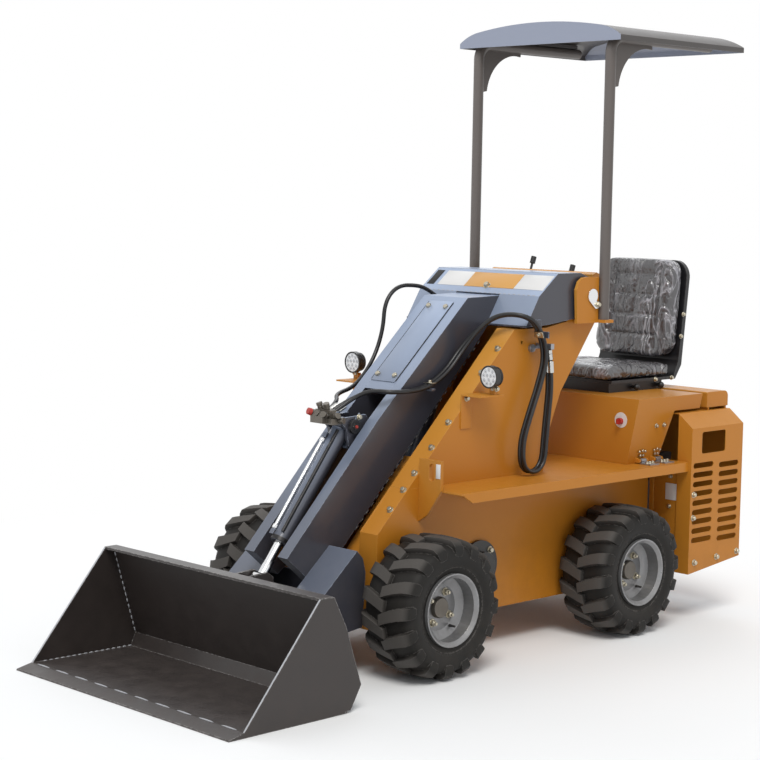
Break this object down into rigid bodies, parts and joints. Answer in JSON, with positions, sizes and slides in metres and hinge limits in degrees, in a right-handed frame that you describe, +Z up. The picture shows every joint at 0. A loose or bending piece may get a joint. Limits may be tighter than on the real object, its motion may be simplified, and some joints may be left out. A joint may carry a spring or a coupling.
{
  "type": "skid steer loader",
  "caption": "Compact ride-on loader with a single lift boom and bucket on a box chassis, four lugged tyres, a tipping seat box, a rear engine hood and an arched canopy.",
  "frame": {"origin": "on the ground, in the middle of the machine's overall length and width", "axes": "+Z up; the machine faces -Y, so the bucket is towards -Y; the operator's left is +X"},
  "size_m": [1.178, 2.84, 2.3902],
  "materials": {
    "body_yellow": "satin",
    "boom_blue": "satin",
    "bucket_dark": "satin",
    "canopy_grey": "satin",
    "coupler_steel": "brushed",
    "engine_metal": "matte",
    "hinge_steel": "brushed",
    "hose_rubber": "matte",
    "key_red": "gloss",
    "lamp_black": "satin",
    "lever_black": "matte",
    "rim_silver": "gloss",
    "rod_chrome": "polished",
    "seat_shell_black": "matte",
    "seat_vinyl": "satin",
    "tyre": "matte"
  },
  "bodies": {
    "chassis": {"canopy_post_left": "canopy_grey", "canopy_post_right": "canopy_grey", "canopy_roof": "canopy_grey", "chassis_frame": "body_yellow", "console": "body_yellow", "control_levers": "lever_black", "engine": "engine_metal", "lamp_bracket_left": "body_yellow", "lamp_bracket_right": "body_yellow", "lamp_left": "lamp_black", "lamp_right": "lamp_black", "loop_fitting": "hinge_steel", "loop_hose_inner": "hose_rubber", "loop_hose_outer": "hose_rubber", "motor_cover_left": "lamp_black", "motor_cover_right": "lamp_black", "pivot_ear_left": "body_yellow", "pivot_ear_right": "body_yellow", "pivot_pin_left": "rod_chrome", "pivot_pin_right": "rod_chrome", "rear_cap": "body_yellow", "rear_hood": "body_yellow", "seat_hinge_front": "hinge_steel", "seat_hinge_rear": "hinge_steel", "step_left": "body_yellow", "step_right": "body_yellow", "tower_rear": "body_yellow", "tower_side_left": "body_yellow", "tower_side_right": "body_yellow"},
    "boom": {"boom_arm_left": "boom_blue", "boom_arm_right": "boom_blue", "boom_cover": "boom_blue", "boom_foot": "boom_blue", "boom_head": "boom_blue", "boom_hose_inner": "hose_rubber", "boom_hose_outer": "hose_rubber", "boom_hose_right": "hose_rubber", "coupler_block": "coupler_steel", "tilt_bracket": "boom_blue"},
    "bucket": {"bucket_shell": "bucket_dark", "hitch_frame": "bucket_dark"},
    "lift_barrel": {"lift_barrel": "boom_blue"},
    "lift_rod": {"lift_rod": "rod_chrome"},
    "tilt_barrel": {"tilt_barrel": "boom_blue"},
    "tilt_rod": {"tilt_rod": "rod_chrome"},
    "seat_box": {"seat_box": "body_yellow", "key_switch": "key_red", "seat_base": "seat_shell_black", "seat_shell": "seat_shell_black", "seat_cushion": "seat_vinyl", "seat_back": "seat_vinyl"},
    "wheel_front_left": {"tyre_front_left": "tyre", "rim_front_left": "rim_silver"},
    "wheel_front_right": {"tyre_front_right": "tyre", "rim_front_right": "rim_silver"},
    "wheel_rear_left": {"tyre_rear_left": "tyre", "rim_rear_left": "rim_silver"},
    "wheel_rear_right": {"tyre_rear_right": "tyre", "rim_rear_right": "rim_silver"}
  },
  "joints": [
    {"name": "boom_lift", "type": "hinge", "parent": "chassis", "child": "boom", "pos_m": [0, 0.592, 1.324], "axis": [-1, 0, 0], "range_deg": [0, 65]},
    {"name": "lift_barrel_swing", "type": "hinge", "parent": "chassis", "child": "lift_barrel", "pos_m": [0, -0.206, 0.3], "axis": [-1, 0, 0], "range_deg": [-5, 1]},
    {"name": "lift_rod_slide", "type": "slide", "parent": "lift_barrel", "child": "lift_rod", "axis": [0, 0.3619, 0.9322], "range_m": [0, 0.54]},
    {"name": "bucket_tilt", "type": "hinge", "parent": "boom", "child": "bucket", "pos_m": [0, -0.786, 0.19], "axis": [1, 0, 0], "range_deg": [-20, 90]},
    {"name": "tilt_barrel_swing", "type": "hinge", "parent": "boom", "child": "tilt_barrel", "pos_m": [0, -0.4005, 0.86], "axis": [1, 0, 0], "range_deg": [-5, 1.5]},
    {"name": "tilt_rod_slide", "type": "slide", "parent": "tilt_barrel", "child": "tilt_rod", "axis": [0, -0.6034, -0.7974], "range_m": [-0.05, 0.22]},
    {"name": "seat_box_tip", "type": "hinge", "parent": "chassis", "child": "seat_box", "pos_m": [0.392, 0.85, 0.664], "axis": [0, 1, 0], "range_deg": [0, 65]},
    {"name": "wheel_front_left_spin", "type": "hinge", "parent": "chassis", "child": "wheel_front_left", "pos_m": [0.45, -0.356, 0.254], "axis": [1, 0, 0], "continuous": true},
    {"name": "wheel_front_right_spin", "type": "hinge", "parent": "chassis", "child": "wheel_front_right", "pos_m": [-0.45, -0.356, 0.254], "axis": [1, 0, 0], "continuous": true},
    {"name": "wheel_rear_left_spin", "type": "hinge", "parent": "chassis", "child": "wheel_rear_left", "pos_m": [0.45, 0.706, 0.254], "axis": [1, 0, 0], "continuous": true},
    {"name": "wheel_rear_right_spin", "type": "hinge", "parent": "chassis", "child": "wheel_rear_right", "pos_m": [-0.45, 0.706, 0.254], "axis": [1, 0, 0], "continuous": true}
  ],
  "couplings": [
    {"joint": "lift_barrel_swing", "follows": "boom_lift", "ratio": -0.07},
    {"joint": "lift_rod_slide", "follows": "boom_lift", "m_per_rad": 0.469},
    {"joint": "tilt_barrel_swing", "follows": "bucket_tilt", "ratio": -0.049},
    {"joint": "tilt_rod_slide", "follows": "bucket_tilt", "m_per_rad": 0.1341}
  ]
}
